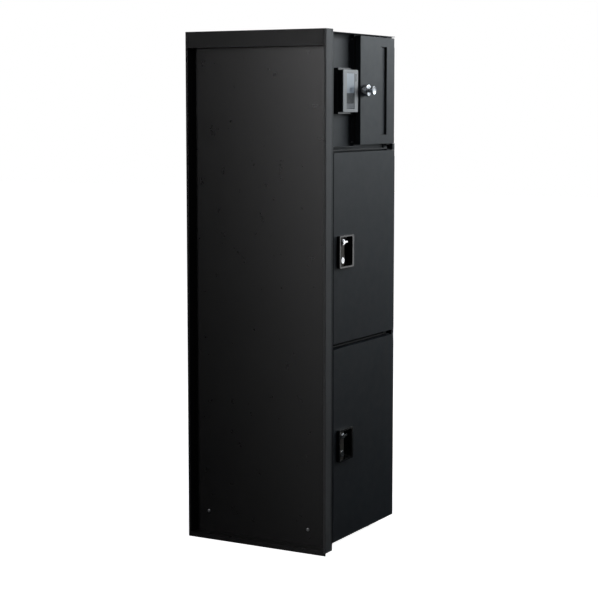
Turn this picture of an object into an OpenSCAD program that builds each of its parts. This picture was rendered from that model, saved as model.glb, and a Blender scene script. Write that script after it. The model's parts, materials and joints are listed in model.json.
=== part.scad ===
// Parcel locker with a mail compartment, two parcel compartments and a door station.
// X runs to the right seen from the front, Y runs from the doors to the back, Z is up.
// The origin is at the middle of the footprint, on the ground.

/* [Overall] */
// Height of the side frame, the tallest piece
overall_h = 1650; // [1375:1:1980]
// Width from the side frame to the hinge edge of the doors
overall_w = 480; // [450:1:576]
// Depth from the door fronts to the back wall
overall_d = 514; // [428:1:617]
// Thickness of the cabinet's sheet steel
sheet_t = 1.5; // [1.2:0.1:2]
// Height of the cabinet's underside above the ground
cabinet_lift = 28; // [26:1:40]
// How far the side frame stands above the roof
frame_rise = 8; // [4:1:12]
// Thickness of the roof sheet
roof_t = 2; // [1.5:0.1:3]

/* [Side frame] */
// Width of the side frame across its front face
frame_w = 47; // [42:1:60]
// Width of the rounded edge trim beside the doors
trim_w = 11; // [8:0.5:13]
// Width of the rims at the front and back
rim_w = 8.5; // [7:0.5:14]
// Height of the band across the top
header_h = 52; // [40:1:70]
// Height of the rim along the bottom
bottom_rim_h = 7; // [5:0.5:12]
// Height of the lip that hangs below the bottom rim
lip_drop = 9; // [5:1:14]
// Thickness of the frame's sheet steel
frame_t = 1.8; // [1.5:0.1:2.5]
// Height of the front panel bolt above the ground
front_bolt_z = 68; // [50:1:120]
// Height of the rear panel bolt above the ground
rear_bolt_z = 84; // [50:1:120]
// Distance of the front panel bolt from the frame's front
front_bolt_y = 83; // [40:1:120]
// Distance of the rear panel bolt from the frame's back
rear_bolt_y = 57; // [40:1:120]
// Radius of the panel bolts' domed heads
bolt_head_r = 6; // [5:0.5:8]
// Radius of the panel bolts' shanks
bolt_r = 3; // [2.5:0.5:4]

/* [Doors] */
// Height of the mail door
mail_door_h = 345; // [290:1:414]
// Height of the lower parcel door
lower_door_h = 619; // [516:1:742]
// Thickness of each door
door_t = 18; // [16:1:22]
// Thickness of the door skins and liners
skin_t = 1.2; // [1:0.1:1.5]
// Radius of the doors' upright front edges
door_edge_r = 2; // [1.5:0.1:3]
// Gap between the mail door and the upper parcel door
mail_gap = 22; // [20:1:30]
// Gap between the two parcel doors
shelf_gap = 17; // [17:1:24]
// Gap above the mail door
roof_gap = 4; // [3.5:0.5:6]
// Gap between the cabinet's underside and the bottom of the lower door
base_gap = 4; // [4:0.5:6]
// Gap between the side frame and the doors
latch_gap = 3; // [2.5:0.5:5]
// How far the parcel doors stand past the right wall
door_overhang = 3.6; // [0:0.1:6]
// How far the mail door's hinge edge is set in from the parcel doors'
mail_door_inset = 5; // [0:0.5:8]
// Depth of the relief at the top of each hinge edge
relief_w = 3; // [2:0.1:3.5]
// Height of the relief on the parcel doors
parcel_relief_h = 20; // [15:1:30]
// Height of the relief on the mail door
mail_relief_h = 30; // [15:1:40]

/* [Hinges] */
// Distance from a door's hinge edge to its pivot axis
pivot_inset = 8; // [8:0.1:9]
// Distance from a door's inner face to its pivot axis
pivot_depth = 4; // [3.8:0.1:4.5]
// Radius of the pivot pins
pin_r = 3; // [2.5:0.1:3.2]
// Length of the pivot pins inside the doors
pin_reach = 11; // [8:1:14]
// Radial clearance of each shaft in its bore
running_fit = 0.05; // [0.02:0.01:0.08]
// Thickness of the hinge brackets' leaves
leaf_t = 3; // [2.5:0.1:3.5]
// Width of the hinge brackets' webs
bracket_w = 34; // [30:1:40]

/* [Seals] */
// Thickness of the rubber seals
seal_t = 6; // [6:0.1:8]
// Width of the rubber seals
seal_w = 6; // [5:0.5:8]

/* [Mail slot and knob] */
// Width of the mail slot
slot_w = 41; // [34:1:49]
// Distance from the mail door's hinge edge to the slot
slot_inset = 58; // [50:1:66]
// Distance from the slot to the mail door's top and bottom
slot_margin = 30; // [25:1:36]
// Depth of the flap's face behind the door front
flap_recess = 7; // [5:0.5:9]
// Thickness of the flap
flap_t = 1.5; // [1:0.1:2]
// Radius of the flap's pivot pin
flap_pin_r = 2; // [1.5:0.1:2.2]
// Distance from the mail door's free edge to the knob's axis
knob_inset = 22.5; // [21:0.5:26]
// Radius of the knob's rose
rose_r = 19; // [16:0.5:20]
// Length of the knob's rose
rose_l = 19; // [15:0.5:23]
// Radius of the knob's head
knob_r = 13.5; // [11:0.5:16]
// Distance from the door front to the knob's tip
knob_reach = 38; // [32:0.5:46]

/* [Parcel handles] */
// Height of the upper handle's middle above the bottom of its door
upper_handle_rise = 290; // [80:1:348]
// Height of the lower handle's middle above the bottom of its door
lower_handle_rise = 308; // [257:1:370]
// Distance from a parcel door's free edge to its handle housing
handle_inset = 22; // [18:1:26]
// Width of the handle housings
handle_w = 95; // [90:1:114]
// Height of the handle housings
handle_h = 103; // [100:1:124]
// How far the handle housings stand out of the door
handle_proud = 11; // [9:0.5:13]
// Width of the face plates that carry the turn and the lock
plate_w = 33; // [31:0.5:38]
// Height of the thumb turn's axis above the handle's middle
turn_rise = 31; // [28:1:33]
// Depth of the key lock's axis below the handle's middle
lock_drop = 27; // [25:1:31]
// Length of the thumb turns' bars from axis to tip
turn_bar_l = 26; // [22:1:30]
// Radius of the key plug's face
plug_r = 10; // [9:0.5:11]
// Length of the parcel doors' cams from axis to tip
cam_reach = 40; // [36:1:42]

/* [Door station] */
// Width of the recess that holds the door station
recess_w = 180.5; // [160:0.5:190]
// Depth of the recess plate behind the face frame
recess_d = 8.5; // [6.5:0.5:18.5]
// Height of the station's middle above the bottom of the mail door
station_rise = 170; // [142:1:204]
// Gap between the station's box and the mail door's jamb
station_gap = 4; // [3:0.5:8]
// Width of the station's mounting box
box_w = 113; // [94:1:120]
// Height of the station's mounting box
box_h = 145; // [121:1:174]
// Depth of the station's mounting box
box_d = 15.5; // [13:0.5:18]
// Width of the box's rim round the station
box_rim = 6; // [4:0.5:8]
// Depth of the station's dark housing
housing_d = 11; // [9:0.5:13]
// Thickness of the station's cover
cover_t = 4; // [3:0.5:5]
// Width of the opening in the cover
window_w = 53; // [44:1:60]
// Height of the camera window
window_h = 63; // [52:1:70]
// Height of the speaker panel
speaker_h = 31; // [26:1:36]
// Height of the call button
button_h = 17; // [14:0.5:20]
// Travel of the call button
button_travel = 1.5; // [1:0.1:2]

/* [Feet and anchors] */
// Radius of the levelling feet
foot_r = 22; // [18:1:26]
// Distance from the cabinet's sides to each foot's axis
foot_inset = 75; // [70:1:90]
// Radius of the feet's studs
stud_r = 5; // [4:0.5:6]
// Radius of the wall anchor holes in the back
wall_hole_r = 4.5; // [3:0.5:6]
// Spacing of the wall anchor holes across the back
wall_hole_dx = 300; // [200:1:320]
// Distance of the wall anchor holes from the shelf that divides the parcels
wall_hole_rise = 480; // [300:1:500]
// Radius of the ground anchor holes in the floor
ground_hole_r = 6; // [5:0.5:7]
// Spacing of the ground anchor holes across the floor
ground_hole_dx = 180; // [140:1:200]
// Spacing of the ground anchor holes from front to back
ground_hole_dy = 260; // [200:1:280]

/* [Hidden] */
$fn = 48;

// Finish colours
steel_black = "#2b2d30";
trim_black = "#3a3c3f";
gloss_black = "#131416";
rubber_black = "#1b1b1b";
zinc = "#9a9ea3";
chrome = "#d5d8dc";
silver = "#b4b7ba";
bronze_grey = "#5a554d";
window_grey = "#8e9aa6";

// Origin of the drawing: left, front and right in row coordinates
left_x = -overall_w / 2;
front_y = -(overall_d + knob_reach) / 2 + knob_reach;
eps = 0.01;

// Fasteners
screw_r = 2;
screw_hole_r = 2.1;
screw_head_r = 3.6;
screw_head_l = 2;
bolt_head_l = 3;
bolt_hole_r = bolt_r + 0.1;
panel_nut_l = 5;
panel_nut_r = bolt_r + 2.4;
thread_fit = 0.02;

// Cabinet, from the frame's outer face (x), the door fronts (y) and the ground (z)
cabinet_x0 = frame_w;
cabinet_x1 = overall_w - door_overhang;
cabinet_z1 = overall_h - frame_rise;
inner_x0 = cabinet_x0 + sheet_t;
inner_x1 = cabinet_x1 - sheet_t;
inner_z0 = cabinet_lift + sheet_t;
inner_z1 = cabinet_z1 - roof_t;
back_in = overall_d - sheet_t;
face_y = door_t + seal_t;
face_back = face_y + sheet_t;
recess_y = face_back + recess_d;

// Doors
parcel_x0 = frame_w + latch_gap;
parcel_x1 = overall_w;
lower_z0 = cabinet_lift + base_gap;
lower_z1 = lower_z0 + lower_door_h;
upper_z0 = lower_z1 + shelf_gap;
mail_z1 = inner_z1 - roof_gap;
mail_z0 = mail_z1 - mail_door_h;
upper_z1 = mail_z0 - mail_gap;
mail_x1 = parcel_x1 - mail_door_inset;
jamb_x = inner_x0 + recess_w;
mail_x0 = jamb_x - 0.5;
liner_y = door_t - skin_t;
pivot_y = door_t - pivot_depth;
parcel_pivot_x = parcel_x1 - pivot_inset;
mail_pivot_x = mail_x1 - pivot_inset;
leaf_gap = 0.5;
shelf_z = (lower_z1 + upper_z0) / 2;
mail_floor_z = upper_z1 + 5;
mail_plate_z = mail_floor_z + 2;
station_floor_z = mail_floor_z + 12;
shelf_nose_t = 3.5;

// Openings of the face frame, one behind each door
overlap = 2 + seal_w;
seal_margin = 1;
latch_post_w = 14;
jamb_post_w = 11;
window_x0 = parcel_x0 + latch_post_w;
parcel_window_x1 = parcel_pivot_x - pivot_inset - seal_w - seal_margin;
mail_window_x0 = jamb_x + jamb_post_w;
mail_window_x1 = mail_pivot_x - pivot_inset - seal_w - seal_margin;

// Mail slot, flap and knob
slot_x1 = mail_x1 - slot_inset;
slot_x0 = slot_x1 - slot_w;
slot_z0 = mail_z0 + slot_margin;
slot_z1 = mail_z1 - slot_margin;
slot_wall = 3;
flap_gap = 0.6;
knuckle_r = flap_pin_r + 1.2;
flap_pivot_x = slot_x0 + knuckle_r + 0.4;
flap_pivot_y = flap_recess + flap_t / 2;
knob_x = mail_x0 + knob_inset;
knob_z = (mail_z0 + mail_z1) / 2;
mail_cam_reach = 17;
neck_r = 7;
knob_head_l = 9;

// Parcel handles
handle_x0 = parcel_x0 + handle_inset;
handle_x1 = handle_x0 + handle_w;
upper_handle_z = upper_z0 + upper_handle_rise;
lower_handle_z = lower_z0 + lower_handle_rise;
handle_rim = 5;
pull_rim = 10;
plate_t = 3;
plate_y = -6;
plate_x0 = handle_x0 + handle_rim;
pocket_x0 = plate_x0 + plate_w;
pocket_x1 = handle_x1 - pull_rim;
pocket_floor_t = 4.5;
pocket_y = door_t - pocket_floor_t;
axis_x = plate_x0 + plate_w / 2;
spindle_r = 5;
spindle_tip_r = 4;
cam_hole_r = spindle_tip_r + 0.02;
cam_t = 3;
cam_half_w = 6;
cap_r = 6;
cap_l = 2.5;
strike_t = 2;
strike_half_h = 14;
cam_y = face_back + strike_t + 0.5;

// Door station
station_z = mail_z0 + station_rise;
box_x1 = jamb_x - station_gap;
box_x0 = box_x1 - box_w;
station_x = (box_x0 + box_x1) / 2;
cover_w = box_w - 2 * box_rim;
cover_h = box_h - 2 * box_rim;
box_front = recess_y - box_d;
housing_front = box_front - housing_d;
cover_front = housing_front - cover_t;
box_wall = 3;
station_corner_r = 4;
plate_cable_r = 10;
box_cable_r = 12;
panel_h = window_h + speaker_h + button_h + 1;
panel_z1 = station_z + panel_h / 2;
window_z0 = panel_z1 - window_h;
speaker_z0 = window_z0 - speaker_h;
button_z0 = speaker_z0 - button_h - 0.5;

// ---- helpers ----

// Moves a piece from locker coordinates to the origin at the middle of the footprint
module locker() translate([left_x, front_y, 0]) children();

// A block between two values on each axis
module slab(x, y, z)
    translate([x[0], y[0], z[0]]) cube([x[1] - x[0], y[1] - y[0], z[1] - z[0]]);

// A cylinder along Y from y0 to y1
module rod_y(x, z, y0, y1, r) translate([x, y0, z]) rotate([-90, 0, 0]) cylinder(r = r, h = y1 - y0);

// A cylinder along X from x0 to x1
module rod_x(y, z, x0, x1, r) translate([x0, y, z]) rotate([0, 90, 0]) cylinder(r = r, h = x1 - x0);

// A cylinder along Z from z0 to z1
module rod_z(x, y, z0, z1, r) translate([x, y, z0]) cylinder(r = r, h = z1 - z0);

// A block with its four edges along Y rounded
module rounded_slab(x, y, z, r) {
    slab([x[0] + r, x[1] - r], y, z);
    slab(x, y, [z[0] + r, z[1] - r]);
    for (cx = [x[0] + r, x[1] - r], cz = [z[0] + r, z[1] - r]) rod_y(cx, cz, y[0], y[1], r);
}

// A rectangular ring of strip, lying in a plane of constant Y
module ring(x, y, z, w) {
    difference() {
        slab(x, y, z);
        slab([x[0] + w, x[1] - w], [y[0] - 1, y[1] + 1], [z[0] + w, z[1] - w]);
    }
}

// ---- side frame ----

module frame_front_stile() {
    color(steel_black) locker() difference() {
        slab([0, cabinet_x0 - trim_w], [0, rim_w], [lip_drop, overall_h]);
        slab([frame_t, cabinet_x0], [frame_t, rim_w - frame_t], [lip_drop + frame_t, overall_h - frame_t]);
    }
}

// An upright channel, open towards the cabinet
module frame_rear_stile() {
    color(steel_black) locker() difference() {
        slab([0, cabinet_x0], [overall_d - rim_w, overall_d], [lip_drop, overall_h]);
        slab([frame_t, cabinet_x0 + 1], [overall_d - rim_w + frame_t, overall_d - frame_t],
            [lip_drop + frame_t, overall_h - frame_t]);
    }
}

module frame_header() {
    color(steel_black) locker() difference() {
        slab([0, cabinet_x0], [rim_w, overall_d - rim_w], [overall_h - header_h, overall_h]);
        slab([frame_t, cabinet_x0 + 1], [rim_w - 1, overall_d - rim_w + 1],
            [overall_h - header_h + frame_t, overall_h - frame_t]);
    }
}

module frame_bottom_rail() {
    color(steel_black) locker() {
        difference() {
            slab([0, cabinet_x0], [rim_w, overall_d - rim_w], [lip_drop, lip_drop + bottom_rim_h]);
            slab([frame_t, cabinet_x0 + 1], [rim_w - 1, overall_d - rim_w + 1],
                [lip_drop + frame_t, lip_drop + bottom_rim_h - frame_t]);
        }
        slab([0, frame_t], [0, overall_d], [0, lip_drop]);
    }
}

// The rounded strip that closes the frame beside the doors
module edge_trim() {
    trim_x0 = cabinet_x0 - trim_w;
    trim_r = 4;
    color(trim_black) locker() difference() {
        union() {
            slab([trim_x0, cabinet_x0], [trim_r, rim_w], [lip_drop, overall_h]);
            slab([trim_x0, cabinet_x0 - trim_r], [0, trim_r], [lip_drop, overall_h]);
            rod_z(cabinet_x0 - trim_r, trim_r, lip_drop, overall_h, trim_r);
        }
        slab([trim_x0 + frame_t, cabinet_x0 - frame_t], [trim_r, rim_w + 1],
            [lip_drop + frame_t, overall_h - frame_t]);
    }
}

panel_z0 = lip_drop + bottom_rim_h;
panel_x0 = cabinet_x0 - trim_w;
bolt_yz = [[front_bolt_y, front_bolt_z], [overall_d - rear_bolt_y, rear_bolt_z]];

module side_panel() {
    color(steel_black) locker() difference() {
        slab([panel_x0, panel_x0 + sheet_t], [rim_w, overall_d - rim_w], [panel_z0, overall_h - header_h]);
        for (b = bolt_yz) rod_x(b[0], b[1], panel_x0 - 1, panel_x0 + 5, bolt_hole_r);
    }
}

// Two domed bolts through the panel and the cabinet wall, each with its nut
module panel_bolts() {
    dome_back = bolt_head_r - 1;
    dome_r = sqrt(pow(dome_back, 2) + pow(bolt_head_r + 1, 2));
    color(zinc) locker() for (b = bolt_yz) {
        intersection() {
            rod_x(b[0], b[1], panel_x0 - bolt_head_l, panel_x0, bolt_head_r);
            translate([panel_x0 + dome_back, b[0], b[1]]) sphere(r = dome_r);
        }
        rod_x(b[0], b[1], panel_x0, inner_x0 + panel_nut_l + 3, bolt_r);
        difference() {
            rod_x(b[0], b[1], inner_x0, inner_x0 + panel_nut_l, panel_nut_r, $fn = 6);
            rod_x(b[0], b[1], inner_x0 - 1, inner_x0 + panel_nut_l + 1, bolt_r + thread_fit);
        }
    }
}

// ---- cabinet ----

foot_x = [cabinet_x0 + foot_inset, cabinet_x1 - foot_inset];
foot_y = [foot_inset, overall_d - foot_inset];
cabinet_cx = (cabinet_x0 + cabinet_x1) / 2;
cabinet_cy = overall_d / 2;
wall_hole_z = [shelf_z - wall_hole_rise, shelf_z + wall_hole_rise];

module left_wall() {
    color(steel_black) locker() difference() {
        slab([cabinet_x0, inner_x0], [1, back_in], [inner_z0, inner_z1]);
        for (b = bolt_yz) rod_x(b[0], b[1], cabinet_x0 - 1, inner_x0 + 1, bolt_hole_r);
    }
}

module right_wall()
    color(steel_black) locker() slab([inner_x1, cabinet_x1], [face_y, back_in], [inner_z0, inner_z1]);

module back_wall() {
    color(steel_black) locker() difference() {
        slab([cabinet_x0, cabinet_x1], [back_in, overall_d], [inner_z0, inner_z1]);
        for (dx = [-0.5, 0.5], z = wall_hole_z)
            rod_y(cabinet_cx + dx * wall_hole_dx, z, back_in - 1, overall_d + 1, wall_hole_r);
    }
}

module roof()
    color(steel_black) locker() slab([cabinet_x0, cabinet_x1], [0, overall_d], [inner_z1, cabinet_z1]);

module floor_pan() {
    color(steel_black) locker() difference() {
        slab([cabinet_x0, cabinet_x1], [face_y, overall_d], [cabinet_lift, inner_z0]);
        for (x = foot_x, y = foot_y) rod_z(x, y, cabinet_lift - 1, inner_z0 + 1, stud_r + 0.5);
        for (dx = [-0.5, 0.5], dy = [-0.5, 0.5])
            rod_z(cabinet_cx + dx * ground_hole_dx, cabinet_cy + dy * ground_hole_dy,
                cabinet_lift - 1, inner_z0 + 1, ground_hole_r);
    }
}

module mail_floor() {
    color(steel_black) locker()
        slab([inner_x0, inner_x1], [face_back, back_in], [mail_plate_z, mail_plate_z + sheet_t]);
}

module parcel_shelf() {
    color(steel_black) locker()
        slab([inner_x0, inner_x1], [face_back, back_in], [shelf_z - sheet_t / 2, shelf_z + sheet_t / 2]);
}

// The wall between the mail compartment and the wiring space
module mail_divider() {
    color(steel_black) locker() difference() {
        slab([jamb_x, jamb_x + sheet_t], [face_back, back_in], [mail_plate_z + sheet_t, inner_z1]);
        for (z = jamb_screw_z) rod_x(jamb_screw_y, z, jamb_x - 1, jamb_x + sheet_t + 1, screw_hole_r);
    }
}

lower_window_z = [lower_z0 + overlap + 3, lower_z1 - overlap];
upper_window_z = [upper_z0 + overlap, upper_z1 - overlap];
mail_window_z = [mail_z0 + overlap, mail_z1 - overlap];

// The front plate, with an opening behind each door and one for the door station
module face_frame() {
    color(steel_black) locker() difference() {
        slab([inner_x0, inner_x1], [face_y, face_back], [inner_z0, inner_z1]);
        slab([window_x0, parcel_window_x1], [face_y - 1, face_back + 1], lower_window_z);
        slab([window_x0, parcel_window_x1], [face_y - 1, face_back + 1], upper_window_z);
        slab([mail_window_x0, mail_window_x1], [face_y - 1, face_back + 1], mail_window_z);
        slab([inner_x0 - 1, jamb_x], [face_y - 1, face_back + 1], [station_floor_z, inner_z1 + 1]);
        for (p = bracket_screw_xz) rod_y(p[0], p[1], face_y - 1, face_back + 1, screw_hole_r);
    }
}

drip_x1 = parcel_pivot_x - bracket_w - 10;

// The two rails that hide the gaps between the doors
module drip_rails() {
    color(trim_black) locker() {
        slab([parcel_x0, drip_x1], [4, face_y], [mail_floor_z, mail_floor_z + shelf_nose_t]);
        slab([parcel_x0, drip_x1], [8, face_y], [shelf_z - shelf_nose_t / 2, shelf_z + shelf_nose_t / 2]);
    }
}

// Four feet with their studs, and the nut that locks each one under the floor
module levelling_feet() {
    disc_h = 5;
    cone_h = 5;
    nut_h = 8;
    stud_rise = 14;
    color(zinc) locker() for (x = foot_x, y = foot_y) {
        rod_z(x, y, 0, disc_h, foot_r);
        translate([x, y, disc_h]) cylinder(r1 = foot_r - 3, r2 = stud_r + 3, h = cone_h);
        rod_z(x, y, disc_h + cone_h, cabinet_lift + stud_rise, stud_r);
        difference() {
            rod_z(x, y, cabinet_lift - nut_h, cabinet_lift, stud_r + 4, $fn = 6);
            rod_z(x, y, cabinet_lift - nut_h - 1, cabinet_lift + 1, stud_r + thread_fit);
        }
    }
}

// Plates behind the latch post, where the parcel doors' cams bear
module latch_strikes() {
    color(zinc) locker()
        for (z = [upper_handle_z + turn_rise, upper_handle_z - lock_drop,
                lower_handle_z + turn_rise, lower_handle_z - lock_drop])
            slab([inner_x0 + 1, window_x0 - 1], [face_back, face_back + strike_t],
                [z - strike_half_h, z + strike_half_h]);
}

// ---- seals ----

module door_seal(x0, x1, z) {
    color(rubber_black) locker()
        ring([x0, x1], [door_t, face_y], [z[0] - overlap + seal_margin, z[1] + overlap - seal_margin],
            seal_w);
}

module mail_seal()
    door_seal(mail_window_x0 - seal_w - seal_margin, mail_window_x1 + seal_w + seal_margin, mail_window_z);

module upper_seal()
    door_seal(window_x0 - seal_w - seal_margin, parcel_window_x1 + seal_w + seal_margin, upper_window_z);

module lower_seal()
    door_seal(window_x0 - seal_w - seal_margin, parcel_window_x1 + seal_w + seal_margin, lower_window_z);

// ---- hinge brackets ----

eye_wall = 3;
web_t = 3;
block_half_w = pivot_inset - 0.5;
block_front = 1;
leaf_y0 = pivot_y - pin_r - eye_wall;
screw_dx = [-bracket_w + 6, -bracket_w + 18];
mail_web_z = [upper_z1 + leaf_gap, mail_z0 - leaf_gap];
shelf_web_z = [lower_z1 + leaf_gap, upper_z0 - leaf_gap];
bracket_screw_xz = [
    for (dx = screw_dx) [parcel_pivot_x + dx, (mail_web_z[0] + mail_web_z[1]) / 2],
    for (dx = screw_dx) [parcel_pivot_x + dx, (shelf_web_z[0] + shelf_web_z[1]) / 2]
];
jamb_screw_y = recess_y - 4.5;
jamb_screw_z = [mail_z0 + 8, mail_z1 - 10];

// A leaf with its pivot pin, on one side of a door
module hinge_leaf(pivot_x, z0, pin_to) {
    slab([pivot_x - bracket_w, pivot_x], [leaf_y0, face_y], [z0, z0 + leaf_t]);
    slab([pivot_x, pivot_x + pin_r + 2.5], [pivot_y, face_y], [z0, z0 + leaf_t]);
    rod_z(pivot_x, pivot_y, z0, z0 + leaf_t, pin_r + eye_wall);
    rod_z(pivot_x, pivot_y, min(z0, pin_to), max(z0, pin_to), pin_r);
}

// Two leaves joined by a web that is screwed to the face frame, and by a block that carries both pins
module double_bracket(lower_pivot_x, upper_pivot_x, z) {
    color(steel_black) locker() difference() {
        union() {
            hinge_leaf(lower_pivot_x, z[0], z[0] - pin_reach);
            hinge_leaf(upper_pivot_x, z[1] - leaf_t, z[1] + pin_reach);
            slab([upper_pivot_x - bracket_w, upper_pivot_x], [face_y - web_t, face_y], z);
            slab([lower_pivot_x - block_half_w, lower_pivot_x + block_half_w],
                [block_front, face_y - web_t + eps], z);
        }
        for (p = bracket_screw_xz) rod_y(p[0], p[1], face_y - web_t - 1, face_y + 1, screw_hole_r);
    }
}

module mail_hinge_bracket() double_bracket(parcel_pivot_x, mail_pivot_x, mail_web_z);

module shelf_hinge_bracket() double_bracket(parcel_pivot_x, parcel_pivot_x, shelf_web_z);

module roof_hinge_bracket()
    color(steel_black) locker() hinge_leaf(mail_pivot_x, inner_z1 - leaf_t, mail_z1 - pin_reach);

module base_hinge_bracket()
    color(steel_black) locker() hinge_leaf(parcel_pivot_x, cabinet_lift, lower_z0 + pin_reach);

// Screws of the hinge brackets and of the mail door's jamb
module cabinet_screws() {
    color(zinc) locker() {
        for (p = bracket_screw_xz) {
            rod_y(p[0], p[1], face_y - web_t - screw_head_l, face_y - web_t, screw_head_r);
            rod_y(p[0], p[1], face_y - web_t, face_back, screw_r);
        }
        for (z = jamb_screw_z) {
            rod_x(jamb_screw_y, z, jamb_x - screw_head_l, jamb_x, screw_head_r);
            rod_x(jamb_screw_y, z, jamb_x, jamb_x + 6, screw_r);
        }
    }
}

// ---- door station ----

// The folded plate behind the station, with its floor
module station_plate() {
    color(steel_black) locker() difference() {
        union() {
            slab([inner_x0, jamb_x], [recess_y, recess_y + sheet_t], [station_floor_z, inner_z1]);
            slab([inner_x0, mail_x0 - 0.5], [2, recess_y], [station_floor_z, station_floor_z + sheet_t]);
        }
        rod_y(station_x, station_z, recess_y - 1, recess_y + sheet_t + 1, plate_cable_r);
    }
}

module station_box() {
    color(gloss_black) locker() difference() {
        rounded_slab([box_x0, box_x1], [box_front, recess_y],
            [station_z - box_h / 2, station_z + box_h / 2], box_wall);
        slab([box_x0 + box_wall, box_x1 - box_wall], [box_front + box_wall, recess_y + 1],
            [station_z - box_h / 2 + box_wall, station_z + box_h / 2 - box_wall]);
        rod_y(station_x, station_z, box_front - 1, box_front + box_wall + 1, box_cable_r);
    }
}

module station_housing() {
    inset = 0.6;
    color(gloss_black) locker() difference() {
        rounded_slab([station_x - cover_w / 2 + inset, station_x + cover_w / 2 - inset],
            [housing_front, box_front], [station_z - cover_h / 2 + inset, station_z + cover_h / 2 - inset],
            station_corner_r);
        slab([station_x - window_w / 2, station_x + window_w / 2], [housing_front - 1, box_front - 3],
            [panel_z1 - panel_h, panel_z1]);
    }
}

module station_cover() {
    color(silver) locker() difference() {
        rounded_slab([station_x - cover_w / 2, station_x + cover_w / 2],
            [cover_front, housing_front], [station_z - cover_h / 2, station_z + cover_h / 2],
            station_corner_r);
        slab([station_x - window_w / 2, station_x + window_w / 2], [cover_front - 1, housing_front + 1],
            [panel_z1 - panel_h, panel_z1]);
        slab([station_x + window_w / 2 + 7, station_x + window_w / 2 + 8.5],
            [cover_front - 1, housing_front + 1], [panel_z1 - 26, panel_z1 - 2]);
    }
}

// Pieces that fill the cover's opening stand this far inside its edges
panel_fit = 0.3;
panel_x = [station_x - window_w / 2 + panel_fit, station_x + window_w / 2 - panel_fit];
panel_y = [cover_front + 0.8, housing_front + 1];

module camera_window()
    color(window_grey) locker() slab(panel_x, panel_y, [window_z0, panel_z1 - panel_fit]);

module camera_lens() {
    lens_r = 9;
    lens_rise = 8;
    color(gloss_black) locker() {
        rod_y(station_x, window_z0 + window_h / 2 + lens_rise, panel_y[1], box_front - 3, lens_r);
    }
}

module speaker_panel() {
    slots = 6;
    pitch = 4;
    slot_h = 1.6;
    color(trim_black) locker() difference() {
        slab(panel_x, [panel_y[0], box_front - 3], [speaker_z0, window_z0]);
        for (i = [0 : slots - 1])
            slab([panel_x[0] + 8, panel_x[1] - 8], [panel_y[0] - 1, panel_y[0] + 1.5],
                [speaker_z0 + (i + 1) * pitch, speaker_z0 + (i + 1) * pitch + slot_h]);
    }
}

module call_button() {
    color(trim_black) locker()
        slab([panel_x[0] + 0.2, panel_x[1] - 0.2], [panel_y[0], box_front - 3 - button_travel - 0.2],
            [button_z0, button_z0 + button_h]);
}

// ---- doors ----

// Plan outline of a door, with rounded front edges
module door_plan(x0, x1) {
    translate([x0, door_edge_r]) square([x1 - x0, door_t - door_edge_r]);
    translate([x0 + door_edge_r, 0]) square([x1 - x0 - 2 * door_edge_r, door_edge_r + eps]);
    for (x = [x0 + door_edge_r, x1 - door_edge_r]) translate([x, door_edge_r]) circle(r = door_edge_r);
}

// The hollow inside a door, between two depths
module door_hollow(x, y, z, relief_h) {
    slab([x[0] + skin_t, x[1] - skin_t], y, [z[0] + skin_t, z[1] - relief_h - skin_t]);
    slab([x[0] + skin_t, x[1] - relief_w - skin_t], y, [z[1] - relief_h - 2 * skin_t, z[1] - skin_t]);
}

// A folded door pan with welded pivot blocks
module door_pan(x, z, relief_h) {
    pivot_x = x[1] - pivot_inset;
    block_h = pin_reach + 3;
    block_x1 = x[1] - relief_w - skin_t;
    difference() {
        translate([0, 0, z[0]]) linear_extrude(z[1] - z[0]) door_plan(x[0], x[1]);
        slab([x[1] - relief_w, x[1] + 1], [-1, door_t + 1], [z[1] - relief_h, z[1] + 1]);
        difference() {
            door_hollow(x, [skin_t, door_t + 1], z, relief_h);
            slab([pivot_x - 8, block_x1], [0, liner_y], [z[0], z[0] + block_h]);
            slab([pivot_x - 8, block_x1], [0, liner_y], [z[1] - block_h, z[1]]);
        }
        rod_z(pivot_x, pivot_y, z[0] - 1, z[0] + pin_reach + 0.5, pin_r + running_fit);
        rod_z(pivot_x, pivot_y, z[1] - pin_reach - 0.5, z[1] + 1, pin_r + running_fit);
    }
}

module door_liner(x, z, relief_h) {
    pivot_x = x[1] - pivot_inset;
    difference() {
        door_hollow(x, [liner_y, door_t], z, relief_h);
        for (end = [[z[0] - 1, z[0] + pin_reach + 0.5], [z[1] - pin_reach - 0.5, z[1] + 1]])
            rod_z(pivot_x, pivot_y, end[0], end[1], pin_r + running_fit);
    }
}

mail_x = [mail_x0, mail_x1];
mail_z = [mail_z0, mail_z1];

// The hole that the slot frame fills
module slot_hole(y) {
    slab([slot_x0 - slot_wall, slot_x1 + slot_wall], y, [slot_z0 - slot_wall, slot_z1 + slot_wall]);
}

module mail_door() {
    color(steel_black) locker() difference() {
        door_pan(mail_x, mail_z, mail_relief_h);
        slab([slot_x0, slot_x1], [-1, skin_t + 1], [slot_z0, slot_z1]);
        rod_y(knob_x, knob_z, -1, skin_t + 1, spindle_r + running_fit);
    }
}

module mail_door_liner() {
    color(steel_black) locker() difference() {
        door_liner(mail_x, mail_z, mail_relief_h);
        slot_hole([liner_y - 1, door_t + 1]);
        rod_y(knob_x, knob_z, liner_y - 1, door_t + 1, spindle_r + running_fit);
    }
}

// The sleeve round the slot, which holds the flap's pin
module slot_frame() {
    color(trim_black) locker() difference() {
        slot_hole([skin_t, door_t]);
        slab([slot_x0, slot_x1], [0, door_t + 1], [slot_z0, slot_z1]);
        rod_z(flap_pivot_x, flap_pivot_y, slot_z0 - slot_wall - 1, slot_z1 + slot_wall + 1,
            flap_pin_r + thread_fit);
    }
}

module flap_pin() {
    color(zinc) locker()
        rod_z(flap_pivot_x, flap_pivot_y, slot_z0 - slot_wall, slot_z1 + slot_wall, flap_pin_r);
}

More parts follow.
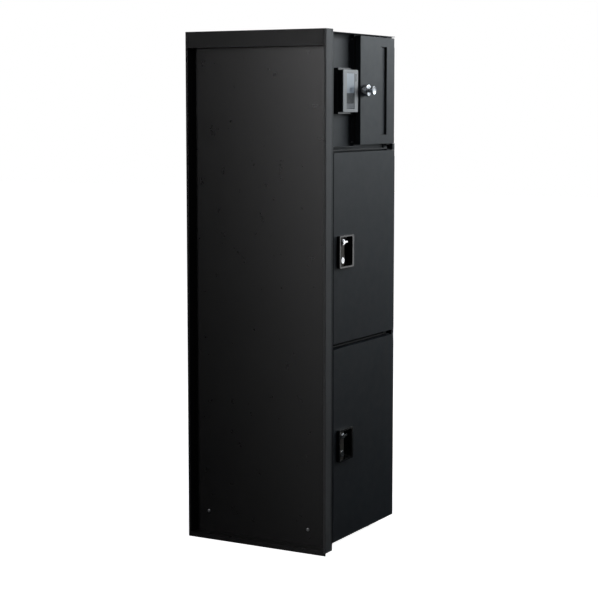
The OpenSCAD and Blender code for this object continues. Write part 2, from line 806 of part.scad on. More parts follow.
module mail_flap() {
    flap_z = [slot_z0 + flap_gap, slot_z1 - flap_gap];
    color(steel_black) locker() difference() {
        union() {
            slab([flap_pivot_x, slot_x1 - flap_gap], [flap_recess, flap_recess + flap_t], flap_z);
            rod_z(flap_pivot_x, flap_pivot_y, flap_z[0], flap_z[1], knuckle_r);
        }
        rod_z(flap_pivot_x, flap_pivot_y, flap_z[0] - 1, flap_z[1] + 1, flap_pin_r + running_fit);
    }
}

module knob_rose() {
    bevel = 3;
    color(chrome) locker() difference() {
        union() {
            rod_y(knob_x, knob_z, -rose_l + bevel, 0, rose_r);
            translate([knob_x, -rose_l + bevel, knob_z]) rotate([90, 0, 0])
                cylinder(r1 = rose_r, r2 = rose_r - bevel, h = bevel);
        }
        rod_y(knob_x, knob_z, -rose_l - 1, 1, spindle_r + running_fit);
    }
}

// The turning knob, its neck and its spindle
module mail_knob() {
    bevel = 2;
    taper_l = 5;
    neck_y = -rose_l - 0.3;
    head_y = -knob_reach + knob_head_l;
    color(chrome) locker() {
        rod_y(knob_x, knob_z, -knob_reach + bevel, head_y, knob_r);
        translate([knob_x, -knob_reach + bevel, knob_z]) rotate([90, 0, 0])
            cylinder(r1 = knob_r, r2 = knob_r - bevel, h = bevel);
        translate([knob_x, head_y, knob_z]) rotate([-90, 0, 0])
            cylinder(r1 = knob_r, r2 = neck_r, h = taper_l);
        rod_y(knob_x, knob_z, head_y + taper_l, neck_y, neck_r);
        rod_y(knob_x, knob_z, neck_y, cam_y, spindle_r);
        spindle_end(knob_x, knob_z);
    }
}

// A cam that hangs from a spindle, clear of its strike
module cam(x, z, reach) {
    difference() {
        union() {
            slab([x - cam_half_w, x + cam_half_w], [cam_y, cam_y + cam_t], [z - reach + cam_half_w, z]);
            rod_y(x, z, cam_y, cam_y + cam_t, cam_half_w + 1.5);
            rod_y(x, z - reach + cam_half_w, cam_y, cam_y + cam_t, cam_half_w);
        }
        rod_y(x, z, cam_y - 1, cam_y + cam_t + 1, cam_hole_r);
    }
}

module mail_cam() color(zinc) locker() cam(knob_x, knob_z, mail_cam_reach);

// ---- parcel doors ----

turn_r = 9;
lock_bore = 8;
parcel_x = [parcel_x0, parcel_x1];
upper_z = [upper_z0, upper_z1];
lower_z = [lower_z0, lower_z1];
body_inset = 4;
body_fit = 0.3;
plate_fit = 0.2;

module parcel_door(z, handle_z) {
    color(steel_black) locker() difference() {
        door_pan(parcel_x, z, parcel_relief_h);
        inset = body_inset - body_fit;
        slab([handle_x0 + inset, handle_x1 - inset], [-1, skin_t + 1],
            [handle_z - handle_h / 2 + inset, handle_z + handle_h / 2 - inset]);
    }
}

module parcel_liner(z, handle_z) {
    color(steel_black) locker() difference() {
        door_liner(parcel_x, z, parcel_relief_h);
        rod_y(axis_x, handle_z + turn_rise, liner_y - 1, door_t + 1, spindle_r + running_fit);
        rod_y(axis_x, handle_z - lock_drop, liner_y - 1, door_t + 1, spindle_r + running_fit);
    }
}

// The cast housing: a raised rim, a seat for the face plate and a finger pocket
module parcel_handle(handle_z) {
    half = handle_h / 2;
    color(gloss_black) locker() difference() {
        union() {
            rounded_slab([handle_x0, handle_x1], [-handle_proud, 0], [handle_z - half, handle_z + half], 5);
            rounded_slab([handle_x0 + body_inset, handle_x1 - body_inset], [0, liner_y],
                [handle_z - half + body_inset, handle_z + half - body_inset], 4);
        }
        slab([plate_x0, pocket_x0 + eps], [-handle_proud - 1, plate_y + plate_t],
            [handle_z - half + handle_rim, handle_z + half - handle_rim]);
        rounded_slab([pocket_x0, pocket_x1], [-handle_proud - 1, pocket_y],
            [handle_z - half + handle_rim, handle_z + half - handle_rim], 6);
        rod_y(axis_x, handle_z + turn_rise, -handle_proud, door_t, spindle_r + running_fit);
        rod_y(axis_x, handle_z - lock_drop, -handle_proud, 8, lock_bore + running_fit);
        rod_y(axis_x, handle_z - lock_drop, 0, door_t, spindle_r + running_fit);
    }
}

module face_plate(handle_z) {
    color(bronze_grey) locker() difference() {
        slab([plate_x0 + plate_fit, pocket_x0 - plate_fit], [plate_y, plate_y + plate_t],
            [handle_z - handle_h / 2 + handle_rim + plate_fit,
                handle_z + handle_h / 2 - handle_rim - plate_fit]);
        rod_y(axis_x, handle_z + turn_rise, plate_y - 1, plate_y + plate_t + 1, spindle_r + running_fit);
        rod_y(axis_x, handle_z - lock_drop, plate_y - 1, plate_y + plate_t + 1, lock_bore + running_fit);
    }
}

// The end of a spindle behind the liner, with the cap that keeps the cam on
module spindle_end(x, z) {
    rod_y(x, z, cam_y, cam_y + cam_t, spindle_tip_r);
    rod_y(x, z, cam_y + cam_t, cam_y + cam_t + cap_l, cap_r);
}

// A round turn with a bar that points aside when the latch is free and down when it holds
module thumb_turn(handle_z) {
    z = handle_z + turn_rise;
    front = plate_y - 0.3;
    boss_l = 6;
    crown_l = 3;
    bar_half_h = 3;
    color(chrome) locker() {
        rod_y(axis_x, z, front - boss_l, front, turn_r);
        rod_y(axis_x, z, front - boss_l - crown_l, front - boss_l, turn_r - 2);
        rounded_slab([axis_x, axis_x + turn_bar_l], [front - 7, front - 2],
            [z - bar_half_h, z + bar_half_h], 2);
        rod_y(axis_x, z, front, cam_y, spindle_r);
        spindle_end(axis_x, z);
    }
}

module key_plug(handle_z) {
    z = handle_z - lock_drop;
    front = plate_y - 0.3;
    barrel_y1 = 6;
    keyway = [1.1, 4.5];
    color(chrome) locker() difference() {
        union() {
            rod_y(axis_x, z, front - 4, front, plug_r);
            rod_y(axis_x, z, front, barrel_y1, lock_bore);
            rod_y(axis_x, z, barrel_y1, cam_y, spindle_r);
            spindle_end(axis_x, z);
        }
        slab([axis_x - keyway[0], axis_x + keyway[0]], [front - 5, front + 6],
            [z - keyway[1], z + keyway[1]]);
    }
}

module upper_door() parcel_door(upper_z, upper_handle_z);
module upper_door_liner() parcel_liner(upper_z, upper_handle_z);
module upper_handle() parcel_handle(upper_handle_z);
module upper_face_plate() face_plate(upper_handle_z);
module upper_thumb_turn() thumb_turn(upper_handle_z);
module upper_latch_cam() color(zinc) locker() cam(axis_x, upper_handle_z + turn_rise, cam_reach);
module upper_key_plug() key_plug(upper_handle_z);
module upper_lock_cam() color(zinc) locker() cam(axis_x, upper_handle_z - lock_drop, cam_reach);

module lower_door() parcel_door(lower_z, lower_handle_z);
module lower_door_liner() parcel_liner(lower_z, lower_handle_z);
module lower_handle() parcel_handle(lower_handle_z);
module lower_face_plate() face_plate(lower_handle_z);
module lower_thumb_turn() thumb_turn(lower_handle_z);
module lower_latch_cam() color(zinc) locker() cam(axis_x, lower_handle_z + turn_rise, cam_reach);
module lower_key_plug() key_plug(lower_handle_z);
module lower_lock_cam() color(zinc) locker() cam(axis_x, lower_handle_z - lock_drop, cam_reach);

// ---- pieces ----

frame_header();
frame_front_stile();
frame_rear_stile();
frame_bottom_rail();
side_panel();
edge_trim();
panel_bolts();
left_wall();
right_wall();
back_wall();
roof();
floor_pan();
mail_floor();
parcel_shelf();
mail_divider();
face_frame();
drip_rails();
levelling_feet();
latch_strikes();
mail_seal();
upper_seal();
lower_seal();
roof_hinge_bracket();
mail_hinge_bracket();
shelf_hinge_bracket();
base_hinge_bracket();
cabinet_screws();
station_plate();
station_box();
station_housing();
station_cover();
camera_window();
camera_lens();
speaker_panel();
call_button();
mail_door();
mail_door_liner();
slot_frame();
flap_pin();
mail_flap();
knob_rose();
mail_knob();
mail_cam();
upper_door();
upper_door_liner();
upper_handle();
upper_face_plate();
upper_thumb_turn();
upper_latch_cam();
upper_key_plug();
upper_lock_cam();
lower_door();
lower_door_liner();
lower_handle();
lower_face_plate();
lower_thumb_turn();
lower_latch_cam();
lower_key_plug();
lower_lock_cam();
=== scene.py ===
"""Looks for the parcel locker: a black powder-coated cabinet, its handles, knob and door station."""
import json
import math

import bmesh
import bpy
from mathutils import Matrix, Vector


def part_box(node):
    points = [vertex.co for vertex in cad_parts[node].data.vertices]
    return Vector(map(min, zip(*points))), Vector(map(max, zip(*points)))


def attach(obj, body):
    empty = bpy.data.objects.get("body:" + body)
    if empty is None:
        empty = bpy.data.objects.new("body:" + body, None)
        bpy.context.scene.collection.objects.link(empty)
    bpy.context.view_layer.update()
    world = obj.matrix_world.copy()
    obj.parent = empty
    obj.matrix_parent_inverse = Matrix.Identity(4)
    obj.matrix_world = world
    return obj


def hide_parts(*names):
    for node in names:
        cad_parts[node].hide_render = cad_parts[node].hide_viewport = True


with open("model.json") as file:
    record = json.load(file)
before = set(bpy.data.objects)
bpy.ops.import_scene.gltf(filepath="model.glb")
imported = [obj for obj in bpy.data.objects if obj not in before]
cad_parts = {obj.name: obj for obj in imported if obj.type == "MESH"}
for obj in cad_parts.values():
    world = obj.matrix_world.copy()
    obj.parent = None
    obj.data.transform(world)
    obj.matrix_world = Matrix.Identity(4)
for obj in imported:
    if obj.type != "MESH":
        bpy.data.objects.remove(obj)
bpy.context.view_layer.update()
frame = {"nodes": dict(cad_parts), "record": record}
NODES = frame["nodes"]
MM = 0.001

# ---------------------------------------------------------------- camera

LENS_MM = 97.25
SENSOR_MM = 36.0
CAMERA_PLACE = (-4.616, -2.609, 1.405)
CAMERA_TURN = -60.59
CAMERA_PITCH = -5.98
CAMERA_SHIFT = -0.035


def make_camera():
    """A long lens at chest height, looking slightly down at the left front corner."""
    data = bpy.data.cameras.new("camera")
    data.lens = LENS_MM
    data.sensor_width = SENSOR_MM
    data.shift_y = CAMERA_SHIFT
    data.clip_end = 60
    camera = bpy.data.objects.new("camera", data)
    camera.location = CAMERA_PLACE
    camera.rotation_euler = (math.radians(90 + CAMERA_PITCH), 0, math.radians(CAMERA_TURN))
    bpy.context.scene.collection.objects.link(camera)
    bpy.context.scene.camera = camera


# ---------------------------------------------------------------- node helpers


class Shader:
    """A small wrapper that adds and links nodes in one material."""

    def __init__(self, name):
        self.material = bpy.data.materials.new(name)
        self.material.use_nodes = True
        self.tree = self.material.node_tree
        self.bsdf = self.tree.nodes["Principled BSDF"]
        coords = self.tree.nodes.new("ShaderNodeTexCoord")
        self.place = coords.outputs["Object"]

    def add(self, kind, **values):
        node = self.tree.nodes.new(kind)
        for key, value in values.items():
            setattr(node, key, value)
        return node

    def link(self, source, target):
        self.tree.links.new(source, target)

    def noise(self, scale, detail=3.0, roughness=0.5, place=None):
        node = self.add("ShaderNodeTexNoise")
        node.inputs["Scale"].default_value = scale
        node.inputs["Detail"].default_value = detail
        node.inputs["Roughness"].default_value = roughness
        self.link(place or self.place, node.inputs["Vector"])
        return node.outputs["Fac"]

    def stretched(self, scale):
        node = self.add("ShaderNodeMapping")
        node.inputs["Scale"].default_value = scale
        self.link(self.place, node.inputs["Vector"])
        return node.outputs["Vector"]

    def span(self, value, low, high, from_low=0.3, from_high=0.7):
        node = self.add("ShaderNodeMapRange")
        node.inputs["From Min"].default_value = from_low
        node.inputs["From Max"].default_value = from_high
        node.inputs["To Min"].default_value = low
        node.inputs["To Max"].default_value = high
        self.link(value, node.inputs["Value"])
        return node.outputs["Result"]

    def mix(self, factor, first, second):
        node = self.add("ShaderNodeMix", data_type="RGBA")
        colour_in = [s for s in node.inputs if s.type == "RGBA"]
        for socket, value in zip(colour_in, (first, second)):
            socket.default_value = (*value, 1)
        self.link(factor, node.inputs["Factor"])
        return [s for s in node.outputs if s.type == "RGBA"][0]

    def bump(self, height, distance, strength=1.0, after=None):
        node = self.add("ShaderNodeBump")
        node.inputs["Strength"].default_value = strength
        node.inputs["Distance"].default_value = distance
        self.link(height, node.inputs["Height"])
        if after:
            self.link(after, node.inputs["Normal"])
        return node.outputs["Normal"]

    def finish(self, colour, rough=None, normal=None, **fixed):
        self.link(colour, self.bsdf.inputs["Base Color"])
        if rough is not None:
            self.link(rough, self.bsdf.inputs["Roughness"])
        if normal is not None:
            self.link(normal, self.bsdf.inputs["Normal"])
        for key, value in fixed.items():
            self.bsdf.inputs[key.replace("_", " ")].default_value = value
        return self.material


# ---------------------------------------------------------------- materials


def powder_coat(name, low, high, rough_low, rough_high, specular=0.5):
    """Baked black paint: orange peel about 2 mm across, fine grit, and a faint colour drift."""
    s = Shader(name)
    colour = s.mix(s.span(s.noise(3.5, 4), 0, 1), low, high)
    rough = s.span(s.noise(28, 5, 0.6), rough_low, rough_high)
    peel = s.bump(s.noise(420, 2), 0.00022, 0.22)
    grit = s.bump(s.noise(2600, 2), 0.00004, 0.05, after=peel)
    return s.finish(colour, rough, grit, Coat_Weight=0.08, Coat_Roughness=0.4,
                    Specular_IOR_Level=specular)


def moulded_gloss(name, low, high, rough_low, rough_high):
    """Glossy black moulding with very fine handling marks."""
    s = Shader(name)
    colour = s.mix(s.span(s.noise(14, 3), 0, 1), low, high)
    rough = s.span(s.noise(60, 6, 0.65), rough_low, rough_high)
    normal = s.bump(s.noise(260, 2), 0.0001, 0.2)
    return s.finish(colour, rough, normal, Coat_Weight=0.5, Coat_Roughness=0.06)


def chrome_plate():
    """Polished plating with a slight ripple and finger haze."""
    s = Shader("chrome")
    colour = s.mix(s.span(s.noise(90, 3), 0, 1), (0.78, 0.80, 0.83), (0.9, 0.91, 0.93))
    rough = s.span(s.noise(130, 6, 0.7), 0.03, 0.1)
    normal = s.bump(s.noise(180, 2), 0.00008, 0.08)
    return s.finish(colour, rough, normal, Metallic=1.0)


def zinc_plate():
    """Bright zinc with its small crystals."""
    s = Shader("zinc")
    cells = s.add("ShaderNodeTexVoronoi")
    cells.inputs["Scale"].default_value = 500
    s.link(s.place, cells.inputs["Vector"])
    colour = s.mix(s.span(cells.outputs["Distance"], 0, 1, 0, 0.8), (0.42, 0.43, 0.45), (0.6, 0.61, 0.63))
    rough = s.span(s.noise(220, 4), 0.28, 0.45)
    normal = s.bump(cells.outputs["Distance"], 0.00006, 0.3)
    return s.finish(colour, rough, normal, Metallic=1.0)


def brushed_silver():
    """Satin aluminium brushed from side to side."""
    s = Shader("brushed_silver")
    grain = s.noise(1.0, 4, 0.6, place=s.stretched((60, 60, 5200)))
    colour = s.mix(s.span(grain, 0, 1), (0.28, 0.282, 0.286), (0.35, 0.353, 0.357))
    rough = s.span(grain, 0.4, 0.52)
    normal = s.bump(grain, 0.00005, 0.4)
    return s.finish(colour, rough, normal, Metallic=0.75)


def seal_rubber():
    """Foam rubber with open pores."""
    s = Shader("seal_rubber")
    pores = s.noise(1500, 3)
    colour = s.mix(s.span(pores, 0, 1), (0.012, 0.012, 0.012), (0.03, 0.03, 0.03))
    rough = s.span(s.noise(90, 3), 0.75, 0.95)
    return s.finish(colour, rough, s.bump(pores, 0.0003, 0.6))


def bronze_paint():
    """Grey-bronze plate with a fine cast texture."""
    s = Shader("bronze_grey")
    colour = s.mix(s.span(s.noise(40, 4), 0, 1), (0.075, 0.066, 0.056), (0.11, 0.1, 0.09))
    rough = s.span(s.noise(160, 4), 0.32, 0.46)
    normal = s.bump(s.noise(900, 3), 0.00012, 0.35)
    return s.finish(colour, rough, normal, Metallic=0.5)


def window_pane():
    """Tinted camera window, pale grey-blue, lighter towards its top: a painted reflection."""
    s = Shader("camera_window")
    low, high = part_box("camera_window")
    split = s.add("ShaderNodeSeparateXYZ")
    s.link(s.place, split.inputs["Vector"])
    # Painted reflection: the pane's colour lightens with height, from its bottom edge to its top.
    up = s.span(split.outputs["Z"], 0, 1, low[2], high[2])
    colour = s.mix(up, (0.33, 0.38, 0.44), (0.55, 0.61, 0.68))
    rough = s.span(s.noise(200, 4), 0.06, 0.14)
    normal = s.bump(s.noise(320, 2), 0.00005, 0.2)
    return s.finish(colour, rough, normal, Coat_Weight=1.0, Coat_Roughness=0.03)


def textured_plastic(name, low, high):
    """Spark-eroded plastic with a fine even grain."""
    s = Shader(name)
    colour = s.mix(s.span(s.noise(70, 4), 0, 1), low, high)
    rough = s.span(s.noise(400, 3), 0.4, 0.55)
    return s.finish(colour, rough, s.bump(s.noise(2200, 2), 0.0001, 0.5))


MATERIALS = {
    "black_steel": powder_coat("black_steel", (0.015, 0.019, 0.024), (0.02, 0.025, 0.031), 0.46, 0.54),
    # The next three are copies of the one black powder coat, shifted darker or lighter in colour and
    # gloss: painted shade for the side panel, rear stile, bottom rail and header, and a painted highlight
    # for the front stile.
    "frame_steel_painted_shade": powder_coat("frame_steel_painted_shade", (0.007, 0.007, 0.0078), (0.01, 0.01, 0.0108), 0.27, 0.33),
    "header_steel_painted_shade": powder_coat(
        "header_steel_painted_shade", (0.006, 0.006, 0.0066), (0.009, 0.009, 0.0096), 0.38, 0.44, specular=0.28),
    "flange_steel_painted_highlight": powder_coat(
        "flange_steel_painted_highlight", (0.08, 0.083, 0.086), (0.09, 0.093, 0.096), 0.56, 0.64, specular=0.6),
    "edge_trim_paint": powder_coat(
        "edge_trim_paint", (0.022, 0.0235, 0.025), (0.03, 0.0315, 0.033), 0.44, 0.52),
    "gloss_black": moulded_gloss("gloss_black", (0.006, 0.006, 0.007), (0.011, 0.011, 0.012), 0.12, 0.22),
    "chrome": chrome_plate(),
    "zinc": zinc_plate(),
    "silver_cover": brushed_silver(),
    "rubber": seal_rubber(),
    "bronze_grey": bronze_paint(),
    "window": window_pane(),
    "dark_panel": textured_plastic("dark_panel", (0.045, 0.05, 0.055), (0.065, 0.07, 0.077)),
    "button_grey": textured_plastic("button_grey", (0.14, 0.15, 0.165), (0.18, 0.19, 0.205)),
}
SLOT_OF = {row["node"]: row["material_slot"] for row in frame["record"]["subparts"]}
# Frame pieces that take the painted-shade and painted-highlight copies of the black paint instead of their
# slot's finish.
FRAME_LIT_AND_SHADED = {
    "frame_header": "header_steel_painted_shade",
    "frame_front_stile": "flange_steel_painted_highlight",
    "frame_rear_stile": "frame_steel_painted_shade",
    "frame_bottom_rail": "frame_steel_painted_shade",
    "side_panel": "frame_steel_painted_shade",
}


def material_for(node):
    return MATERIALS[FRAME_LIT_AND_SHADED.get(node, SLOT_OF[node])]


def paint_nodes():
    """Every CAD node that stays gets its own material; the frame pieces get the painted-shade and
    painted-highlight copies of the black paint.
    """
    for node, obj in NODES.items():
        set_material(obj, material_for(node))


# ---------------------------------------------------------------- mesh helpers

SMOOTH_ANGLE = 35
WELD = 1e-6
EDGE_SEGMENTS = 3
TURNED_STEPS = 64
CORNER_STEPS = 6
BODY_OF = {node: body for body, nodes in frame["record"]["behaviour"]["bodies"].items() for node in nodes}


def link(obj):
    bpy.context.scene.collection.objects.link(obj)
    return obj


def applied(obj):
    """The object's evaluated mesh as a plain object of the same name."""
    graph = bpy.context.evaluated_depsgraph_get()
    mesh = bpy.data.meshes.new_from_object(obj.evaluated_get(graph))
    obj.modifiers.clear()
    obj.data = mesh
    return obj


def smooth(obj):
    for polygon in obj.data.polygons:
        polygon.use_smooth = True
    obj.data.set_sharp_from_angle(angle=math.radians(SMOOTH_ANGLE))


def set_material(obj, material):
    obj.data.materials.clear()
    obj.data.materials.append(material)


def middle(box, axis):
    """The middle of a box along one axis."""
    return (box[0][axis] + box[1][axis]) / 2


def mesh_from(tool, name):
    """A mesh data block from the finished bmesh, which it frees."""
    bmesh.ops.recalc_face_normals(tool, faces=tool.faces)
    mesh = bpy.data.meshes.new(name)
    tool.to_mesh(mesh)
    tool.free()
    return mesh


def refined(node, width):
    """A copy of a CAD node with its sharp edges rolled to a radius; it stands for that node."""
    mesh = NODES[node].data.copy()
    tool = bmesh.new()
    tool.from_mesh(mesh)
    bmesh.ops.remove_doubles(tool, verts=tool.verts, dist=WELD)
    bmesh.ops.dissolve_limit(tool, angle_limit=math.radians(1), verts=tool.verts, edges=tool.edges)
    for face in tool.faces:
        face.smooth = True
    tool.to_mesh(mesh)
    tool.free()
    piece = link(bpy.data.objects.new(node + "_finish", mesh))
    bevel = piece.modifiers.new("edge", "BEVEL")
    bevel.width = width * MM
    bevel.segments = EDGE_SEGMENTS
    bevel.limit_method = "ANGLE"
    bevel.angle_limit = math.radians(40)
    even = piece.modifiers.new("even", "WEIGHTED_NORMAL")
    even.mode = "FACE_AREA"
    even.weight = 100
    applied(piece)
    set_material(piece, material_for(node))
    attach(piece, BODY_OF[node])
    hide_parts(node)


def new_piece(name, mesh, body, slot, replaces=()):
    """A named object that rides on a body, in its slot's finish."""
    piece = link(bpy.data.objects.new(name, mesh))
    set_material(piece, MATERIALS[slot])
    smooth(piece)
    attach(piece, body)
    if replaces:
        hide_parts(*replaces)


def turned_mesh(name, centre, profile, closed=False):
    """A solid of revolution about Y; profile lists (y, radius) in metres. A closed one is a ring."""
    tool = bmesh.new()
    rings = []
    for y, radius in profile:
        ring = []
        for i in range(TURNED_STEPS):
            a = 2 * math.pi * i / TURNED_STEPS
            place = (centre[0] + radius * math.cos(a), y, centre[1] + radius * math.sin(a))
            ring.append(tool.verts.new(place))
        rings.append(ring)
    for lower, upper in zip(rings, rings[1:] + (rings[:1] if closed else [])):
        for i in range(TURNED_STEPS):
            j = (i + 1) % TURNED_STEPS
            tool.faces.new((lower[i], lower[j], upper[j], upper[i]))
    if not closed:
        tool.faces.new(rings[0])
        tool.faces.new(list(reversed(rings[-1])))
    return mesh_from(tool, name)


def front_corner(front, rim, corner_r):
    """The rounded front edge of a turned profile, as (y, radius) pairs from the rim inwards."""
    points = []
    for i in range(CORNER_STEPS + 1):
        a = math.radians(90 + 90 * i / CORNER_STEPS)
        points.append((front + corner_r + corner_r * math.cos(a), rim - corner_r + corner_r * math.sin(a)))
    return points


# ---------------------------------------------------------------- geometry node helpers


class Grower:
    """Builds one Geometry Nodes tree with named inputs and turns its result into a plain mesh."""

    def __init__(self, name, inputs):
        self.name = name
        self.tree = bpy.data.node_groups.new(name, "GeometryNodeTree")
        self.tree.interface.new_socket("Geometry", in_out="OUTPUT", socket_type="NodeSocketGeometry")
        self.sockets = {}
        for label, kind, value in inputs:
            socket = self.tree.interface.new_socket(label, in_out="INPUT", socket_type=kind)
            self.sockets[label] = (socket.identifier, value)
        self.given = self.tree.nodes.new("NodeGroupInput")
        self.result = self.tree.nodes.new("NodeGroupOutput")

    def add(self, kind, links=None, **settings):
        node = self.tree.nodes.new(kind)
        for key, value in settings.items():
            setattr(node, key, value)
        for socket, source in (links or {}).items():
            target = node.inputs[socket]
            if isinstance(source, bpy.types.NodeSocket):
                self.tree.links.new(source, target)
            elif isinstance(source, str):
                self.tree.links.new(self.given.outputs[source], target)
            else:
                target.default_value = source
        return node

    def grow(self, instances, material):
        """Realizes the instances, sets the material and returns the mesh."""
        real = self.add("GeometryNodeRealizeInstances", {"Geometry": instances})
        paint = self.add("GeometryNodeSetMaterial", {"Geometry": real.outputs[0]})
        paint.inputs["Material"].default_value = MATERIALS[material]
        self.tree.links.new(paint.outputs[0], self.result.inputs[0])
        holder = link(bpy.data.objects.new(self.name, bpy.data.meshes.new(self.name)))
        modifier = holder.modifiers.new("grow", "NODES")
        modifier.node_group = self.tree
        for identifier, value in self.sockets.values():
            modifier[identifier] = value
        mesh = applied(holder).data
        bpy.data.objects.remove(holder)
        return mesh


def points_mesh(name, points):
    """Loose points, for a tree that places one instance on each."""
    mesh = bpy.data.meshes.new(name)
    mesh.from_pydata(points, [], [])
    return link(bpy.data.objects.new(name, mesh))


def knurled_ring(name, centre, radius, length, count, ridge):
    """Upright ridges round a knob's rim, along Y."""
    g = Grower(name, [
        ("Radius", "NodeSocketFloat", radius),
        ("Length", "NodeSocketFloat", length),
        ("Ridge", "NodeSocketFloat", ridge),
        ("Count", "NodeSocketInt", count),
    ])
    circle = g.add("GeometryNodeCurvePrimitiveCircle", {"Radius": "Radius"})
    spots = g.add("GeometryNodeCurveToPoints",
                  {"Curve": circle.outputs["Curve"], "Count": "Count"}, mode="COUNT")
    bar = g.add("GeometryNodeMeshCylinder", {"Vertices": 8, "Radius": "Ridge", "Depth": "Length"})
    copies = g.add("GeometryNodeInstanceOnPoints",
                   {"Points": spots.outputs["Points"], "Instance": bar.outputs["Mesh"]})
    turned = g.add("GeometryNodeTransform", {
        "Geometry": copies.outputs[0], "Rotation": (math.pi / 2, 0, 0), "Translation": centre})
    return g.grow(turned.outputs[0], "chrome")


def slat_row(name, start, step, count, length, radius, material):
    """A column of round-edged slats along X."""
    g = Grower(name, [
        ("Count", "NodeSocketInt", count),
        ("Length", "NodeSocketFloat", length),
        ("Radius", "NodeSocketFloat", radius),
        ("Start", "NodeSocketVector", start),
        ("Step", "NodeSocketVector", step),
    ])
    row = g.add("GeometryNodeMeshLine", {"Count": "Count", "Start Location": "Start", "Offset": "Step"})
    bar = g.add("GeometryNodeMeshCylinder", {"Vertices": 12, "Radius": "Radius", "Depth": "Length"})
    copies = g.add("GeometryNodeInstanceOnPoints", {
        "Points": row.outputs["Mesh"], "Instance": bar.outputs["Mesh"], "Rotation": (0, math.pi / 2, 0)})
    return g.grow(copies.outputs[0], material)


def screw_crowns(name, places, turn, radius, height):
    """Pan heads with a cross recess, one on each place."""
    source = points_mesh(name + "_places", places)
    g = Grower(name, [
        ("Radius", "NodeSocketFloat", radius),
        ("Height", "NodeSocketFloat", height),
        ("Places", "NodeSocketObject", source),
        ("Turn", "NodeSocketVector", turn),
    ])
    head = g.add("GeometryNodeMeshCylinder", {"Vertices": 32, "Radius": "Radius", "Depth": "Height"})
    slot = radius * 0.28
    bars = g.add("GeometryNodeJoinGeometry")
    for size in ((radius * 1.2, slot, height), (slot, radius * 1.2, height)):
        cube = g.add("GeometryNodeMeshCube", {"Size": size})
        lift = g.add("GeometryNodeTransform",
                     {"Geometry": cube.outputs[0], "Translation": (0, 0, height * 0.35)})
        g.tree.links.new(lift.outputs[0], bars.inputs[0])
    cut = g.add("GeometryNodeMeshBoolean", {"Mesh 1": head.outputs["Mesh"], "Mesh 2": bars.outputs[0]},
                operation="DIFFERENCE")
    where = g.add("GeometryNodeObjectInfo", {"Object": "Places"})
    copies = g.add("GeometryNodeInstanceOnPoints", {
        "Points": where.outputs["Geometry"], "Instance": cut.outputs["Mesh"], "Rotation": "Turn"})
    mesh = g.grow(copies.outputs[0], "zinc")
    bpy.data.objects.remove(source)
    return mesh


# ---------------------------------------------------------------- pieces


def roll_edges():
    """Sheet, trim and moulded pieces whose CAD shape is right, with real edge radii."""
    radii = {
        0.7: ("frame_header", "frame_front_stile", "frame_rear_stile"),
        0.5: ("frame_bottom_rail", "mail_door", "upper_door", "lower_door", "drip_rails", "mail_flap",
              "slot_frame", "upper_face_plate", "lower_face_plate", "camera_window", "roof"),
        1.0: ("station_box", "station_housing", "call_button", "upper_key_plug", "lower_key_plug"),
        1.2: ("station_cover", "upper_thumb_turn", "lower_thumb_turn"),
        1.8: ("upper_handle", "lower_handle"),
    }
    for radius, nodes in radii.items():
        for node in nodes:
            refined(node, radius)


ROSE_BORE = 5.05 * MM
ROSE_CORNER = 2.6 * MM
# Forward of the rose's back face, and in from its rim: a plain band, then a bead groove.
ROSE_SIDE_MM = ((0, 0), (4, 0), (4.6, 0.6), (5.6, 0.6), (6.2, 0))
ROSE_FLAT_SHARE = 0.62
ROSE_DISH_SHARE = 0.58
ROSE_DISH = 0.8 * MM

KNOB_LIP = 1.4 * MM
# Forward of the knob's inner end, and radius: the cam's clamp, the spindle and its shoulder.
KNOB_SPINDLE_MM = ((0, 6), (2.5, 6), (2.5, 4), (5.5, 4), (5.5, 5))
# Forward of the rose's front, and radius: the spindle, then the collar that stands on the rose.
KNOB_COLLAR_MM = ((0.3, 5), (0.3, 7.5), (1.5, 7.2))
# Behind the knob's tip, and radius: the waist and the flare under the head.
KNOB_FLARE_MM = ((13.5, 6.8), (11.5, 8.5), (9.5, 12.2))
KNOB_SHOULDER_MM = (8.5, 0.4)
# Behind the knob's tip, and share of its radius: the dished face.
KNOB_DISH = ((0.4, 0.78), (1.1, 0.7), (1.1, 0.3))
KNURL_COUNT = 48
KNURL_LENGTH = 5.2 * MM
KNURL_MIDDLE = 5.2 * MM
KNURL_R = 0.5 * MM
KNURL_INSET = 0.3 * MM


